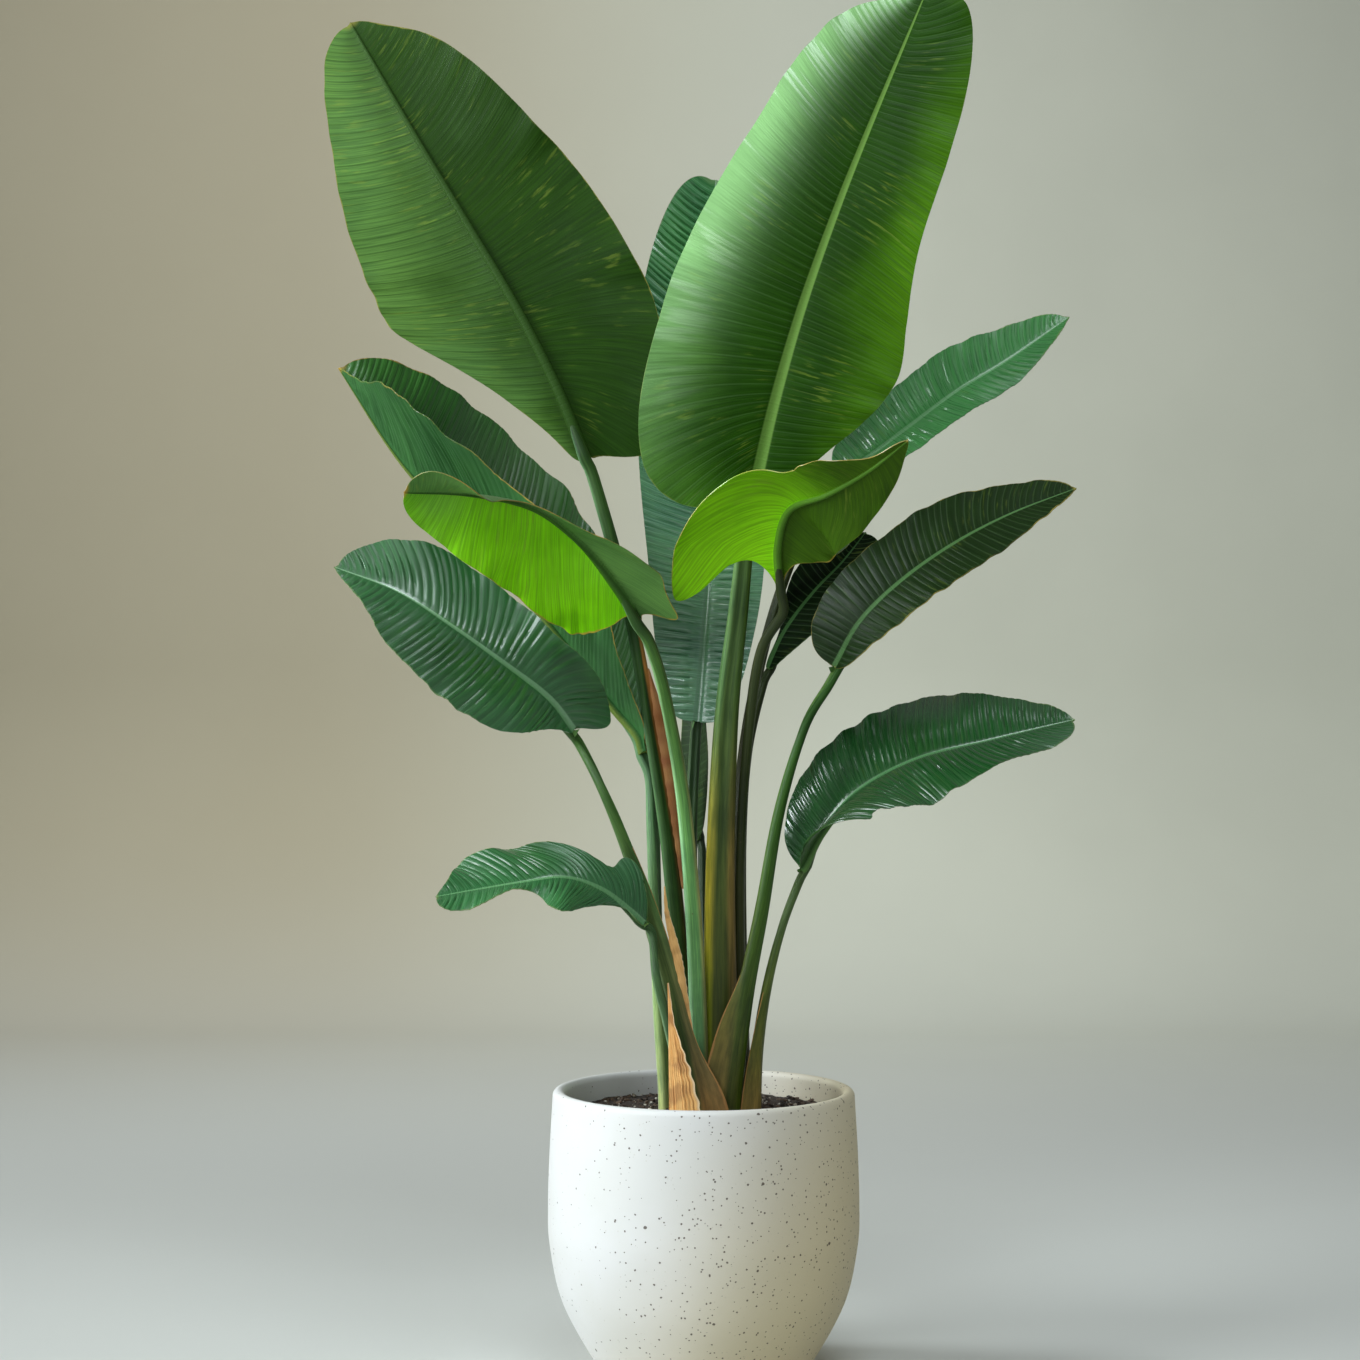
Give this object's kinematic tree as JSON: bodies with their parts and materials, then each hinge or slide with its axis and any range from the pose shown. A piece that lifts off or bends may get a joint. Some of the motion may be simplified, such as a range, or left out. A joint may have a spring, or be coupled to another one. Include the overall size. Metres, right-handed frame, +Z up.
{
  "type": "potted bird of paradise plant",
  "caption": "House plant with large paddle leaves on sheathing stalks, growing in soil in a round-bellied speckled ceramic pot.",
  "frame": {"origin": "centre of the pot's flat underside, where it stands on the floor", "axes": "+Z up, -Y towards the side shown in the picture, +X to its right"},
  "size_m": [0.7343, 0.4587, 1.3206],
  "materials": {
    "pot": "matte",
    "soil": "matte",
    "root": "matte",
    "leaf": "satin",
    "stalk": "satin",
    "husk": "matte"
  },
  "bodies": {
    "root": {"pot": "pot", "soil": "soil", "root_crown": "root", "dry_sheath": "husk", "stalk_tall_left": "stalk", "blade_tall_left": "leaf", "stalk_tall_right": "stalk", "blade_tall_right": "leaf", "stalk_tall_rear": "stalk", "blade_tall_rear": "leaf", "stalk_long_left": "stalk", "blade_long_left": "leaf", "stalk_folded_left": "stalk", "blade_folded_left": "leaf", "stalk_broad_left": "stalk", "blade_broad_left": "leaf", "stalk_folded_right": "stalk", "blade_folded_right": "leaf", "stalk_high_right": "stalk", "blade_high_right": "leaf", "stalk_long_right": "stalk", "blade_long_right": "leaf", "stalk_inner_right": "stalk", "blade_inner_right": "leaf", "stalk_small_left": "stalk", "blade_small_left": "leaf", "stalk_low_right": "stalk", "blade_low_right": "leaf", "stalk_inner_rear": "stalk", "blade_inner_rear": "leaf"}
  },
  "joints": []
}
